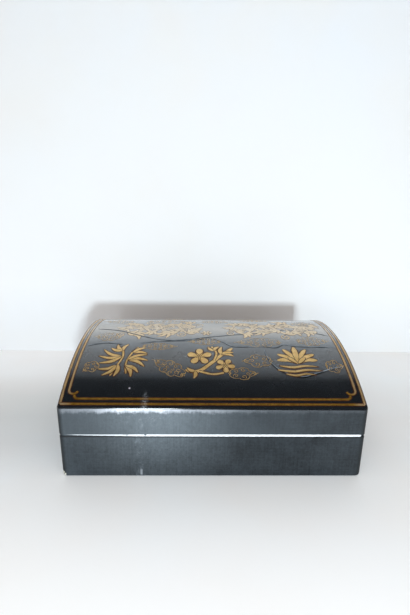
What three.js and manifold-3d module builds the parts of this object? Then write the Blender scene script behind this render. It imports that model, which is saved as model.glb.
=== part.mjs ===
// A black lacquered letter box with a vaulted lid that lifts off.
// Millimetres, +Z up, the origin at the centre of the underside, the front towards -Y.
//
// The wooden core is built as a box maker builds it. The walls meet in finger joints, held with
// bamboo pegs. Four thin liner boards stand inside the base and rise above its rim as the lip
// that the lid closes over. The vault of the lid is coopered: narrow staves with bevelled edges,
// planed to one smooth arch, that rest on the arched end boards and on the two rails. A coat of
// ground and lacquer covers the outside of the base and of the lid, and turns in over both rims.

import * as THREE from 'three';
import { mergeVertices } from 'three/addons/utils/BufferGeometryUtils.js';
import Module from 'manifold-3d';

const wasm = await Module();
wasm.setup();

// Overall sizes
const boxWidth = 300;
const boxDepth = 250;
const baseHeight = 47.5;
const skirtHeight = 29.2; // the lid's upright front, up to where the vault springs
const vaultRise = 36;

// Boards
const boardThickness = 7;
const bottomThickness = 6.5;
const staveThickness = 7;
const staveCount = 9;
const linerThickness = 3.2;
const lipHeight = 8; // how far the liner boards stand above the rim
const lipEdgeRadius = 1.2;

// Lacquer over its ground
const coatThickness = 0.8;

// Softened edges
const cornerRadius = 4; // the upright corners, and the front and back edges of the underside
const footRadius = 5.5; // the left and right edges of the underside
const vaultEdgeRadius = 2; // where the vault meets the end faces
const browRadius = 2.6; // where the vault meets the front and back faces
const rimChamferHeight = 2.2;
const rimChamferDepth = 1.3;
const lidArris = 0.5;

// Joints
const fingersInBase = 5;
const fingersInLid = 3;
const pegRadius = 1.25;
const pegLength = 20;
const bottomPegSetBack = 0.5; // the head lies this far above the underside
const pegsAlongWidth = 3;
const pegsAlongDepth = 2;

// Clearances
const glueGap = 0.3;
const pegGap = 0.2;
const lidRestGap = 0.3;
const lipClearance = 0.6; // between the lip and the inside of the lid

// Facets
const vaultFacets = 54;
const edgeFacets = 4;
const lipEdgeFacets = 3;
const pegSides = 12;

// Sizes worked out from the ones above
const halfWidth = boxWidth / 2;
const halfDepth = boxDepth / 2;
const coreInset = coatThickness + glueGap; // how far the boards lie behind the lacquered face
const wallThickness = coreInset + boardThickness;
const vaultRadius = (halfDepth ** 2 + vaultRise ** 2) / (2 * vaultRise);
const vaultCentre = skirtHeight + vaultRise - vaultRadius; // its height above the lid's lower edge
const springAngle = Math.asin(halfDepth / vaultRadius);
const staveUnderside = vaultRadius - coreInset - staveThickness;
const seatRadius = staveUnderside - glueGap; // the arched tops that the staves rest on
const railHeight = vaultCentre + Math.sqrt(seatRadius ** 2 - (halfDepth - coreInset) ** 2);
const wallFoot = bottomThickness + glueGap;
const wallTop = baseHeight - coreInset;
const beyond = 20; // how far a cutting solid runs past what it cuts

const blackLacquer = new THREE.MeshStandardMaterial({ color: 0x15171a, roughness: 0.18, metalness: 0 });
const satinLacquer = new THREE.MeshStandardMaterial({ color: 0x2c3237, roughness: 0.42, metalness: 0 });
const redLacquer = new THREE.MeshStandardMaterial({ color: 0x7c1f16, roughness: 0.3, metalness: 0 });
const bamboo = new THREE.MeshStandardMaterial({ color: 0xc2a468, roughness: 0.7, metalness: 0 });

// Solids for cutting and joining

function solidOf(geometry) {
  const bare = new THREE.BufferGeometry();
  bare.setAttribute('position', geometry.getAttribute('position').clone());
  if (geometry.index) bare.setIndex(geometry.index.clone());
  const merged = mergeVertices(bare, 1e-4);
  return new wasm.Manifold(
    new wasm.Mesh({
      numProp: 3,
      vertProperties: new Float32Array(merged.attributes.position.array),
      triVerts: new Uint32Array(merged.index.array),
    }),
  );
}

function geometryOf(solid) {
  const { vertProperties, triVerts, numProp } = solid.getMesh();
  const corners = new Float32Array(triVerts.length * 3);
  triVerts.forEach((vertex, i) => {
    corners.set(vertProperties.subarray(vertex * numProp, vertex * numProp + 3), i * 3);
  });
  const geometry = new THREE.BufferGeometry();
  geometry.setAttribute('position', new THREE.BufferAttribute(corners, 3));
  geometry.computeVertexNormals();
  return geometry;
}

function meshOf(name, solid, material) {
  const mesh = new THREE.Mesh(geometryOf(solid), material);
  mesh.name = name;
  return mesh;
}

function block([x0, x1], [y0, y1], [z0, z1]) {
  const geometry = new THREE.BoxGeometry(x1 - x0, y1 - y0, z1 - z0);
  geometry.translate((x0 + x1) / 2, (y0 + y1) / 2, (z0 + z1) / 2);
  return solidOf(geometry);
}

// Points on an arc about (u, v), from one angle to another
function arc(u, v, radius, from, to, facets) {
  return Array.from({ length: facets + 1 }, (_, i) => {
    const angle = from + ((to - from) * i) / facets;
    return new THREE.Vector2(u + radius * Math.cos(angle), v + radius * Math.sin(angle));
  });
}

// The box's plan, drawn in by an inset on every side
function plan(inset) {
  const radius = cornerRadius - inset;
  const u = halfWidth - cornerRadius;
  const v = halfDepth - cornerRadius;
  const quarter = Math.PI / 2;
  return new THREE.Shape([
    ...arc(u, v, radius, 0, quarter, edgeFacets),
    ...arc(-u, v, radius, quarter, 2 * quarter, edgeFacets),
    ...arc(-u, -v, radius, 2 * quarter, 3 * quarter, edgeFacets),
    ...arc(u, -v, radius, 3 * quarter, 4 * quarter, edgeFacets),
  ]);
}

// A prism of that length, centred on its own middle, whose end edges are softened inside the outline
function prism(shape, length, edge = {}) {
  const { size = 0, thickness = size, segments = 1 } = edge;
  const geometry = new THREE.ExtrudeGeometry(shape, {
    depth: length - 2 * thickness,
    steps: 1,
    bevelEnabled: size > 0,
    bevelSize: size,
    bevelOffset: -size,
    bevelThickness: thickness,
    bevelSegments: segments,
  });
  geometry.translate(0, 0, thickness - length / 2);
  return geometry;
}

// An outline drawn in (y, z) and extruded along X
const alongX = new THREE.Matrix4().makeBasis(
  new THREE.Vector3(0, 1, 0),
  new THREE.Vector3(0, 0, 1),
  new THREE.Vector3(1, 0, 0),
);

// An outline drawn in (x, z) and extruded along Y
const alongY = new THREE.Matrix4().makeBasis(
  new THREE.Vector3(1, 0, 0),
  new THREE.Vector3(0, 0, 1),
  new THREE.Vector3(0, -1, 0),
);

// The upright sides of the base and its bevelled rim, drawn in by an inset
function baseSides(inset) {
  const length = baseHeight + 2 * beyond;
  const rim = { size: rimChamferDepth, thickness: rimChamferHeight };
  const sides = prism(plan(inset), length, rim).translate(0, 0, baseHeight - inset - length / 2);
  return solidOf(sides);
}

// The form of the base: the lacquered outside at no inset, the boards' outside at the core's.
// The underside isn't drawn in, because the boards reach down to it.
function baseForm(inset) {
  const u = halfWidth - footRadius;
  const outline = new THREE.Shape([
    ...arc(-u, footRadius, footRadius, Math.PI, 1.5 * Math.PI, edgeFacets),
    ...arc(u, footRadius, footRadius, -0.5 * Math.PI, 0, edgeFacets),
    new THREE.Vector2(halfWidth, baseHeight + beyond),
    new THREE.Vector2(-halfWidth, baseHeight + beyond),
  ]);
  const foot = prism(outline, boxDepth, { size: cornerRadius, segments: edgeFacets });
  return solidOf(foot.applyMatrix4(alongY)).intersect(baseSides(inset));
}

// The form of the lid, drawn in alike on its vault, its sides and its lower edge
function lidForm(inset) {
  const u = halfDepth - browRadius;
  const browCentre = vaultCentre + Math.sqrt((vaultRadius - browRadius) ** 2 - u ** 2);
  const browAngle = Math.atan2(browCentre - vaultCentre, u);
  const brow = browRadius - inset;
  const crown = arc(0, vaultCentre, vaultRadius - inset, browAngle, Math.PI - browAngle, vaultFacets);
  const outline = new THREE.Shape([
    new THREE.Vector2(halfDepth - inset, -beyond),
    ...arc(u, browCentre, brow, 0, browAngle, edgeFacets),
    ...crown.slice(1, -1),
    ...arc(-u, browCentre, brow, Math.PI - browAngle, Math.PI, edgeFacets),
    new THREE.Vector2(inset - halfDepth, -beyond),
  ]);
  const ends = { size: vaultEdgeRadius - inset, segments: edgeFacets };
  const vault = prism(outline, boxWidth - 2 * inset, ends);
  const length = skirtHeight + vaultRise + 2 * beyond;
  const sides = prism(plan(inset), length, { size: lidArris }).translate(0, 0, inset + length / 2);
  return solidOf(vault.applyMatrix4(alongX)).intersect(solidOf(sides));
}

// The room between the walls, at those heights
function hollow(heights) {
  const x = halfWidth - wallThickness;
  const y = halfDepth - wallThickness;
  return block([-x, x], [-y, y], heights);
}

// Everything under an arch that runs along X, as wide as the box and more
function underArch(radius) {
  const reach = Math.asin(Math.min(1, (halfDepth + wallThickness) / radius));
  const crown = arc(0, vaultCentre, radius, Math.PI / 2 - reach, Math.PI / 2 + reach, vaultFacets);
  const outline = new THREE.Shape([
    new THREE.Vector2(crown[0].x, -beyond),
    ...crown,
    new THREE.Vector2(crown[vaultFacets].x, -beyond),
  ]);
  return solidOf(prism(outline, boxWidth + 2 * beyond).applyMatrix4(alongX));
}

// Finger joints and pegs

// The heights of every second finger. The front and back boards have the even ones and the side
// boards the odd ones. The lowest and highest run on past the board, so that its edge is cut too.
function fingerSpans(foot, top, count, parity) {
  const pitch = (top - foot) / count;
  return Array.from({ length: count }, (_, i) => {
    const low = i === 0 ? foot - beyond : foot + i * pitch;
    const high = i === count - 1 ? top + beyond : foot + (i + 1) * pitch;
    return [low, high];
  }).filter((_, i) => i % 2 === parity);
}

const socketReach = wallThickness + glueGap;

// Cuts the sockets for the side boards' fingers out of both ends of a front or back board
function cutAcrossWidth(board, spans) {
  return spans.reduce((cut, [low, high]) => {
    const heights = [low - glueGap / 2, high + glueGap / 2];
    const depths = [-halfDepth - beyond, halfDepth + beyond];
    return cut
      .subtract(block([halfWidth - socketReach, halfWidth + beyond], depths, heights))
      .subtract(block([-halfWidth - beyond, socketReach - halfWidth], depths, heights));
  }, board);
}

// Cuts the sockets for the front and back boards' fingers out of both ends of a side board
function cutAcrossDepth(board, spans) {
  return spans.reduce((cut, [low, high]) => {
    const heights = [low - glueGap / 2, high + glueGap / 2];
    const widths = [-halfWidth - beyond, halfWidth + beyond];
    return cut
      .subtract(block(widths, [halfDepth - socketReach, halfDepth + beyond], heights))
      .subtract(block(widths, [-halfDepth - beyond, socketReach - halfDepth], heights));
  }, board);
}

// A peg, driven from its head at (x, y, z) along a direction. The same values cut its hole and
// set its mesh.
function peg(name, x, y, z, direction) {
  const turn = new THREE.Quaternion().setFromUnitVectors(new THREE.Vector3(0, 1, 0), direction);
  const middle = new THREE.Vector3(x, y, z).addScaledVector(direction, pegLength / 2);
  return { name, turn, middle };
}

function drill(board, pegs) {
  return pegs.reduce((drilled, { turn, middle }) => {
    const radius = pegRadius + pegGap;
    const hole = new THREE.CylinderGeometry(radius, radius, pegLength + 2 * pegGap, pegSides);
    hole.applyQuaternion(turn).translate(middle.x, middle.y, middle.z);
    return drilled.subtract(solidOf(hole));
  }, board);
}

function pegMesh({ name, turn, middle }) {
  const mesh = new THREE.Mesh(
    new THREE.CylinderGeometry(pegRadius, pegRadius, pegLength, pegSides),
    bamboo,
  );
  mesh.name = name;
  mesh.quaternion.copy(turn);
  mesh.position.copy(middle);
  return mesh;
}

// Two pegs in each corner, through the lowest and highest fingers of the front and back boards
function cornerPegs(prefix, foot, top, count) {
  const pitch = (top - foot) / count;
  const heights = [foot + pitch / 2, top - pitch / 2];
  const pegs = [];
  for (const [end, facing] of [['front', 1], ['back', -1]]) {
    for (const [side, x] of [['left', -1], ['right', 1]]) {
      heights.forEach((z, i) => {
        const name = `${prefix}_${end}_${side}_peg_${i + 1}`;
        const direction = new THREE.Vector3(0, facing, 0);
        const head = facing * (coreInset - halfDepth);
        pegs.push(peg(name, x * (halfWidth - coreInset - boardThickness / 2), head, z, direction));
      });
    }
  }
  return pegs;
}

// The pegs that hold the bottom board up against the walls
function bottomPegs() {
  const up = new THREE.Vector3(0, 0, 1);
  const x = halfWidth - coreInset - boardThickness / 2;
  const y = halfDepth - coreInset - boardThickness / 2;
  const pegs = [];
  for (const [end, sign] of [['front', -1], ['back', 1]]) {
    for (let i = 0; i < pegsAlongWidth; i++) {
      const along = boxWidth * ((i + 0.5) / pegsAlongWidth - 0.5);
      pegs.push(peg(`bottom_${end}_peg_${i + 1}`, along, sign * y, bottomPegSetBack, up));
    }
  }
  for (const [side, sign] of [['left', -1], ['right', 1]]) {
    for (let i = 0; i < pegsAlongDepth; i++) {
      const along = boxDepth * ((i + 0.5) / pegsAlongDepth - 0.5);
      pegs.push(peg(`bottom_${side}_peg_${i + 1}`, sign * x, along, bottomPegSetBack, up));
    }
  }
  return pegs;
}

// The base

function baseBoards(core) {
  const corner = cornerPegs('base', wallFoot, wallTop, fingersInBase);
  const bottom = bottomPegs();
  const pegs = [...corner, ...bottom];
  const heights = [wallFoot, wallTop];
  const acrossWidth = [-halfWidth, halfWidth];
  const acrossDepth = [-halfDepth, halfDepth];
  const evenSpans = fingerSpans(wallFoot, wallTop, fingersInBase, 0);
  const oddSpans = fingerSpans(wallFoot, wallTop, fingersInBase, 1);
  const trimmed = (widths, depths) => block(widths, depths, heights).intersect(core);
  const frontOrBack = (depths) => drill(cutAcrossWidth(trimmed(acrossWidth, depths), oddSpans), pegs);
  const leftOrRight = (widths) => drill(cutAcrossDepth(trimmed(widths, acrossDepth), evenSpans), pegs);
  const bottomBoard = block(acrossWidth, acrossDepth, [0, bottomThickness]).intersect(core);
  return [
    meshOf('base_bottom_board', drill(bottomBoard, bottom), redLacquer),
    meshOf('base_front_board', frontOrBack([-halfDepth, wallThickness - halfDepth]), redLacquer),
    meshOf('base_back_board', frontOrBack([halfDepth - wallThickness, halfDepth]), redLacquer),
    meshOf('base_left_board', leftOrRight([-halfWidth, wallThickness - halfWidth]), redLacquer),
    meshOf('base_right_board', leftOrRight([halfWidth - wallThickness, halfWidth]), redLacquer),
    ...pegs.map(pegMesh),
  ];
}

// The coat on the outside of the base and over its rim. It runs out on the rounded foot.
function baseCoat() {
  const coat = baseForm(0).subtract(baseSides(coatThickness));
  return meshOf('base_lacquer_coat', coat.subtract(hollow([-beyond, baseHeight + beyond])), satinLacquer);
}

// A liner board's section, drawn as (distance in from the wall, height). Above the rim its outer
// face steps back, so that the lid slides over the lip.
function linerSection() {
  const top = baseHeight + lipHeight;
  const step = lipClearance - glueGap;
  const quarter = Math.PI / 2;
  const inner = linerThickness - lipEdgeRadius;
  const outer = step + lipEdgeRadius;
  return new THREE.Shape([
    new THREE.Vector2(0, wallFoot),
    new THREE.Vector2(linerThickness, wallFoot),
    ...arc(inner, top - lipEdgeRadius, lipEdgeRadius, 0, quarter, lipEdgeFacets),
    ...arc(outer, top - lipEdgeRadius, lipEdgeRadius, quarter, 2 * quarter, lipEdgeFacets),
    new THREE.Vector2(step, baseHeight - glueGap),
    new THREE.Vector2(0, baseHeight - glueGap),
  ]);
}

// One liner board, mitred at both ends, standing along X with its back at y = 0
function liner(length) {
  const board = solidOf(prism(linerSection(), length).applyMatrix4(alongX));
  const half = length / 2 - glueGap / Math.SQRT2;
  const mitres = new THREE.Shape([
    new THREE.Vector2(-half, 0),
    new THREE.Vector2(half, 0),
    new THREE.Vector2(half - linerThickness, linerThickness),
    new THREE.Vector2(linerThickness - half, linerThickness),
  ]);
  return geometryOf(board.intersect(solidOf(prism(mitres, 2 * (baseHeight + lipHeight + beyond)))));
}

function linerBoards() {
  const inset = wallThickness + glueGap;
  const across = liner(boxWidth - 2 * inset);
  const along = liner(boxDepth - 2 * inset);
  const places = [
    ['front', across, 0, inset - halfDepth, 0],
    ['right', along, halfWidth - inset, 0, Math.PI / 2],
    ['back', across, 0, halfDepth - inset, Math.PI],
    ['left', along, inset - halfWidth, 0, -Math.PI / 2],
  ];
  return places.map(([side, geometry, x, y, turn]) => {
    const mesh = new THREE.Mesh(geometry, redLacquer);
    mesh.name = `${side}_liner_board`;
    mesh.position.set(x, y, 0);
    mesh.rotation.z = turn;
    return mesh;
  });
}

// The lid, in its own frame with z = 0 at its lower edge

function lidWalls(core) {
  const arch = underArch(seatRadius);
  const pegs = cornerPegs('lid', coreInset, railHeight, fingersInLid);
  const heights = [0, skirtHeight + vaultRise];
  const acrossWidth = [-halfWidth, halfWidth];
  const acrossDepth = [-halfDepth, halfDepth];
  const evenSpans = fingerSpans(coreInset, railHeight, fingersInLid, 0);
  const oddSpans = fingerSpans(coreInset, railHeight, fingersInLid, 1);
  const trimmed = (widths, depths) => block(widths, depths, heights).intersect(arch).intersect(core);
  const rail = (depths) => drill(cutAcrossWidth(trimmed(acrossWidth, depths), oddSpans), pegs);
  const end = (widths) => drill(cutAcrossDepth(trimmed(widths, acrossDepth), evenSpans), pegs);
  return [
    meshOf('lid_front_rail', rail([-halfDepth, wallThickness - halfDepth]), redLacquer),
    meshOf('lid_back_rail', rail([halfDepth - wallThickness, halfDepth]), redLacquer),
    meshOf('lid_left_end', end([-halfWidth, wallThickness - halfWidth]), redLacquer),
    meshOf('lid_right_end', end([halfWidth - wallThickness, halfWidth]), redLacquer),
    ...pegs.map(pegMesh),
  ];
}

// The section of one stave before planing, from its front bevel to its back one. The first and
// last staves run on past the spring of the vault, and the lid's form trims them.
function staveSection(index) {
  const width = (2 * springAngle) / staveCount;
  const unplaned = vaultRadius + beyond / 2;
  const overhang = (isOutermost) => (isOutermost ? width : 0);
  const front = Math.PI / 2 + springAngle - index * width + overhang(index === 0);
  const back = Math.PI / 2 + springAngle - (index + 1) * width - overhang(index === staveCount - 1);
  const halfGapAt = (radius) => glueGap / (2 * radius);
  const facets = vaultFacets / staveCount;
  const face = (radius) =>
    arc(0, vaultCentre, radius, front - halfGapAt(radius), back + halfGapAt(radius), facets);
  return new THREE.Shape([...face(staveUnderside), ...face(unplaned).reverse()]);
}

function staves(core) {
  return Array.from({ length: staveCount }, (_, index) => {
    const blank = solidOf(prism(staveSection(index), boxWidth + beyond).applyMatrix4(alongX));
    return meshOf(`lid_stave_${index + 1}`, blank.intersect(core), redLacquer);
  });
}

// The coat on the outside of the lid and over its lower edge
function lidCoat() {
  const coat = lidForm(0).subtract(lidForm(coatThickness));
  return meshOf('lid_lacquer_coat', coat.subtract(hollow([-beyond, coreInset])), blackLacquer);
}

function build() {
  const base = new THREE.Group();
  base.add(...baseBoards(baseForm(coreInset)), ...linerBoards(), baseCoat());
  const lid = new THREE.Group();
  lid.position.z = baseHeight + lidRestGap;
  const lidCore = lidForm(coreInset);
  lid.add(...lidWalls(lidCore), ...staves(lidCore), lidCoat());
  const box = new THREE.Group();
  box.add(base, lid);
  return box;
}

export default build();
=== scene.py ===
import math

import bpy
from mathutils import Matrix, Vector


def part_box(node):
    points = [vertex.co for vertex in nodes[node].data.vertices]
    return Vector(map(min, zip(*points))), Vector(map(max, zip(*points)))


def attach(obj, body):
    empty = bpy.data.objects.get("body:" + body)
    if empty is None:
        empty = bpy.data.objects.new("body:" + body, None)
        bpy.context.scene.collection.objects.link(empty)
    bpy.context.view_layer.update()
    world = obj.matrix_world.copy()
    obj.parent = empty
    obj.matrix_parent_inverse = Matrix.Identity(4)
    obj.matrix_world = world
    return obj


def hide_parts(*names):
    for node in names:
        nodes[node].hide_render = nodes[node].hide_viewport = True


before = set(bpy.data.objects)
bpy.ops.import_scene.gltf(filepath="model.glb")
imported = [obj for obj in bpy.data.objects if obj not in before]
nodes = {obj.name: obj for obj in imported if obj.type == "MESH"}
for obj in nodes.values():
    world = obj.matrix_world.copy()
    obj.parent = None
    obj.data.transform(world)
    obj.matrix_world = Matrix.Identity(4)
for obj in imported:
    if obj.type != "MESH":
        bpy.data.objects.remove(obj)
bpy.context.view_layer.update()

# The lacquer on the base
# One skin of ground and black lacquer lies over the outside of the boards. It turns in over the
# bevelled rim and runs on under the rounded foot. Handling has dulled it to a grey satin.


class Wire:
    """A node's output. Sums written with wires add Math nodes, or Vector Math nodes for vectors."""

    def __init__(self, socket):
        self.socket = socket

    @staticmethod
    def node(tree, kind, settings, sockets, output=0):
        made = tree.nodes.new(kind)
        for name, value in settings.items():
            if name == "stops":
                made.color_ramp.elements[0].position, made.color_ramp.elements[0].color = value[0]
                made.color_ramp.elements[1].position, made.color_ramp.elements[1].color = value[-1]
                for place, colour in value[1:-1]:
                    made.color_ramp.elements.new(place).color = colour
            else:
                setattr(made, name, value)
        for name, value in sockets.items():
            if isinstance(value, Wire):
                tree.links.new(value.socket, made.inputs[name])
            else:
                made.inputs[name].default_value = value
        return Wire(made.outputs[output])

    def more(self, kind, settings, sockets, output=0):
        return Wire.node(self.socket.id_data, kind, settings, sockets, output)

    def join(self, operation, first, second):
        sides = [side.socket.type if isinstance(side, Wire) else "" for side in (first, second)]
        kind = "ShaderNodeVectorMath" if "VECTOR" in sides else "ShaderNodeMath"
        return self.more(kind, {"operation": operation}, {0: first, 1: second})

    def __add__(self, other):
        return self.join("ADD", self, other)

    def __radd__(self, other):
        return self.join("ADD", other, self)

    def __sub__(self, other):
        return self.join("SUBTRACT", self, other)

    def __rsub__(self, other):
        return self.join("SUBTRACT", other, self)

    def __mul__(self, other):
        return self.join("MULTIPLY", self, other)

    def __rmul__(self, other):
        return self.join("MULTIPLY", other, self)

    def __truediv__(self, other):
        return self.join("DIVIDE", self, other)

    def __rtruediv__(self, other):
        return self.join("DIVIDE", other, self)

    def __pow__(self, other):
        return self.join("POWER", self, other)

    def __abs__(self):
        return self.more("ShaderNodeMath", {"operation": "ABSOLUTE"}, {0: self})

    def least(self, other):
        return self.join("MINIMUM", self, other)

    def most(self, other):
        return self.join("MAXIMUM", self, other)

    def mapped(self, low, high, to_low, to_high, curve="LINEAR"):
        stretch = {"Value": self, "From Min": low, "From Max": high, "To Min": to_low, "To Max": to_high}
        return self.more("ShaderNodeMapRange", {"interpolation_type": curve}, stretch)

    def split(self):
        return [self.more("ShaderNodeSeparateXYZ", {}, {0: self}, i) for i in range(3)]

    def blend(self, first, second):
        """The first colour where this wire is 0 and the second where it is 1."""
        return self.more("ShaderNodeMix", {"data_type": "RGBA"}, {0: self, 6: first, 7: second}, 2)

    def noise(self, scale, detail=3.0, roughness=0.5):
        """A noise at this place, from 0 to 1."""
        grain = {"Vector": self, "Scale": scale, "Detail": detail, "Roughness": roughness}
        return self.more("ShaderNodeTexNoise", {}, grain)


def vector(x, y, z):
    wire = next(side for side in (x, y, z) if isinstance(side, Wire))
    return wire.more("ShaderNodeCombineXYZ", {}, {0: x, 1: y, 2: z})


def new_tree(name, inputs):
    """A geometry node tree with named inputs, and a wire from each of them."""
    tree = bpy.data.node_groups.new(name, "GeometryNodeTree")
    tree.interface.new_socket("Geometry", in_out="OUTPUT", socket_type="NodeSocketGeometry")
    for label, kind in {"Geometry": "Geometry", **inputs, "Material": "Material"}.items():
        tree.interface.new_socket(label, in_out="INPUT", socket_type="NodeSocket" + kind)
    entry = tree.nodes.new("NodeGroupInput")
    return tree, {socket.name: Wire(socket) for socket in entry.outputs if socket.name}


def end_tree(tree, geometry, material):
    smooth = geometry.more("GeometryNodeSetShadeSmooth", {}, {"Geometry": geometry})
    real = geometry.more("GeometryNodeRealizeInstances", {}, {"Geometry": smooth})
    coated = geometry.more("GeometryNodeSetMaterial", {}, {"Geometry": real, "Material": material})
    tree.links.new(coated.socket, tree.nodes.new("NodeGroupOutput").inputs[0])


def grown(name, seed, tree, sizes, wall=0.0):
    """A plain mesh piece grown from a mesh or curve by a tree, with a wall laid on behind it."""
    start = bpy.data.objects.new("start", seed)
    bpy.context.scene.collection.objects.link(start)
    growth = start.modifiers.new(name, "NODES")
    growth.node_group = tree
    for socket in tree.interface.items_tree:
        if socket.in_out == "INPUT" and socket.name in sizes:
            growth[socket.identifier] = sizes[socket.name]
    if wall:
        shell = start.modifiers.new("wall", "SOLIDIFY")
        shell.thickness = wall
        shell.offset = -1
        shell.use_even_offset = True
    bpy.context.view_layer.update()
    whole = start.evaluated_get(bpy.context.evaluated_depsgraph_get())
    mesh = bpy.data.meshes.new_from_object(whole)
    mesh.name = name
    mesh.set_sharp_from_angle(angle=math.radians(35))
    bpy.data.objects.remove(start)
    piece = bpy.data.objects.new(name, mesh)
    bpy.context.scene.collection.objects.link(piece)
    return piece


def ruler(index, stops):
    """A length that runs straight from stop to stop as the index of a row of vertices goes up."""
    length = stops[0][1]
    for (first, low), (second, high) in zip(stops, stops[1:]):
        length = length + index.mapped(first, second, 0.0, high - low)
    return length


def box_form():
    """Grows a box with rounded corners, whose closed end may be vaulted and whose other end is open.

    It starts as a cube whose rows of vertices are counted from the nearest side, and each row
    gets its own distance from that side. Then the edges of the closed end are rounded by pulling
    rows in, and the upright corners by turning square rings round.
    """
    tree, size = new_tree(
        "box_form",
        {
            "Half Width": "Float", "Half Depth": "Float", "Wall Height": "Float", "Vault Radius": "Float",
            "Corner Radius": "Float", "End Edge In": "Float", "End Edge Down": "Float",
            "Front Edge In": "Float", "Front Edge Down": "Float", "Rim In": "Float", "Rim Up": "Float",
            "Rim Sharpness": "Float", "Rim Width": "Float", "Is Open": "Bool", "Turn": "Rotation",
            "Rise": "Vector",
        },
    )
    rows = (45, 75, 25)
    reach = [(count - 1) / 2 for count in rows]
    settings = {"Size": [count - 1 for count in rows], "Vertices X": rows[0], "Vertices Y": rows[1],
                "Vertices Z": rows[2]}
    cube = Wire.node(tree, "GeometryNodeMeshCube", {}, settings)
    start = Wire.node(tree, "GeometryNodeInputPosition", {}, {})
    x, y, z = start.split()
    from_end = reach[0] - abs(x)
    from_front = reach[1] - abs(y)
    below_top = reach[2] - z
    above_rim = reach[2] + z

    # Faces behind the rim are left out of the open end
    rim_rows = 14
    past_ends = from_end.join("GREATER_THAN", from_end, rim_rows)
    past_sides = from_end.join("GREATER_THAN", from_front, rim_rows)
    at_rim = from_end.join("LESS_THAN", above_rim, 0.1)
    mouth = past_ends * past_sides * at_rim * size["Is Open"]
    cut = {"Geometry": cube, "Selection": mouth}
    opened = cube.more("GeometryNodeDeleteGeometry", {"domain": "FACE"}, cut)

    # Rows stand close together in the rounded edges, then once just past them, then far apart
    half_width, half_depth = size["Half Width"], size["Half Depth"]
    zone = size["Corner Radius"].most(size["End Edge In"]).most(size["Front Edge In"])
    support = 0.0005

    def from_side(index, edge, half, last):
        rim = size["Rim Width"]
        stops = [(0, 0.0), (6, edge), (11, zone + support), (12, zone + 2 * support), (rim_rows, rim)]
        return ruler(index, stops + [(last, half)])

    end_gap = from_side(from_end, size["End Edge In"], half_width, reach[0])
    front_gap = from_side(from_front, size["Front Edge In"], half_depth, reach[1])

    # How far the front or back counts against the ends, for edges that differ
    end_pull = (zone - end_gap).most(0.00001)
    front_pull = (zone - front_gap).most(0.00001)
    facing = front_pull / (end_pull + front_pull)
    edge_in = size["End Edge In"] + facing * (size["Front Edge In"] - size["End Edge In"])
    edge_down = size["End Edge Down"] + facing * (size["Front Edge Down"] - size["End Edge Down"])

    # Heights, on walls that end under the vault
    radius = size["Vault Radius"]

    def vault_over(gap):
        """How high the vault stands there over its own spring."""
        out = half_depth - gap
        return (half_depth * half_depth - out * out) / (
            (radius * radius - out * out) ** 0.5 + (radius * radius - half_depth * half_depth) ** 0.5
        )

    wall = size["Wall Height"] + vault_over(front_gap)
    top_rows, rim_up_rows = 7, 4
    depth_stops = [(0, 0.0), (top_rows, edge_down), (top_rows + 1, edge_down + support)]
    height_stops = [(0, 0.0), (rim_up_rows, size["Rim Up"]), (rim_up_rows + 1, size["Rim Up"] + support)]
    last_row = rows[2] - 1
    near_top = ruler(below_top, depth_stops)
    near_rim = ruler(above_rim, height_stops)
    middle = above_rim.mapped(
        rim_up_rows + 1, last_row - top_rows - 1, 0.0,
        wall - size["Rim Up"] - edge_down - 2 * support,
    )
    height = near_rim + middle + edge_down + support - near_top
    depth = wall - height

    def rounded(gap, reach_in, drop, reach_down, power):
        """Moves a row round an edge. Gives its new distances from the side and from the end."""
        inward = (1.0 - gap / reach_in).most(0.0)
        downward = (1.0 - drop / reach_down).most(0.0)
        length = (inward ** power + downward ** power) ** (1.0 / power)
        shrink = 1.0 / length.most(0.0001)
        new_gap = gap + reach_in * inward * (1.0 - shrink)
        new_drop = drop + reach_down * downward * (1.0 - shrink)
        return new_gap, new_drop

    gap = end_gap.least(front_gap)
    gap_at_top, depth_round = rounded(gap, edge_in, depth, edge_down, 2.0)
    gap_at_rim, height_round = rounded(gap, size["Rim In"], height, size["Rim Up"], size["Rim Sharpness"])
    is_upper = cube.join("GREATER_THAN", height, depth)
    new_gap = gap_at_rim + is_upper * (gap_at_top - gap_at_rim)

    # Square rings drawn in, then their corners turned round
    ring = zone + support
    pull = ((ring - new_gap) / (ring - gap).most(0.00001)).most(0.0)
    is_near = cube.join("LESS_THAN", gap, ring)

    def drawn_in(old_gap):
        inside = ring - (ring - old_gap).most(0.0) * pull
        is_in_ring = old_gap.join("LESS_THAN", old_gap, ring)
        return old_gap + is_near * is_in_ring * (inside - old_gap)

    end_gap_in = drawn_in(end_gap)
    front_gap_in = drawn_in(front_gap)
    corner = size["Corner Radius"]
    across = (corner - end_gap_in).most(0.0)
    along = (corner - front_gap_in).most(0.0)
    square = across.most(along)
    turned = square / ((across * across + along * along) ** 0.5).most(0.0000001)
    end_final = end_gap_in + across * (1.0 - turned)
    front_final = front_gap_in + along * (1.0 - turned)

    def side_of(wire):
        return wire.more("ShaderNodeMath", {"operation": "SIGN"}, {0: wire})

    top_height = size["Wall Height"] + vault_over(front_final) - depth_round
    new_height = height_round + is_upper * (top_height - height_round)
    new_x = side_of(x) * (half_width - end_final)
    new_y = side_of(y) * (half_depth - front_final)
    place = vector(new_x, new_y, new_height)
    moved = cube.more("GeometryNodeSetPosition", {}, {"Geometry": opened, "Position": place})
    stand = {"Geometry": moved, "Rotation": size["Turn"], "Translation": size["Rise"]}
    end_tree(tree, cube.more("GeometryNodeTransform", {}, stand), size["Material"])
    return tree


box_tree = box_form()


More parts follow.
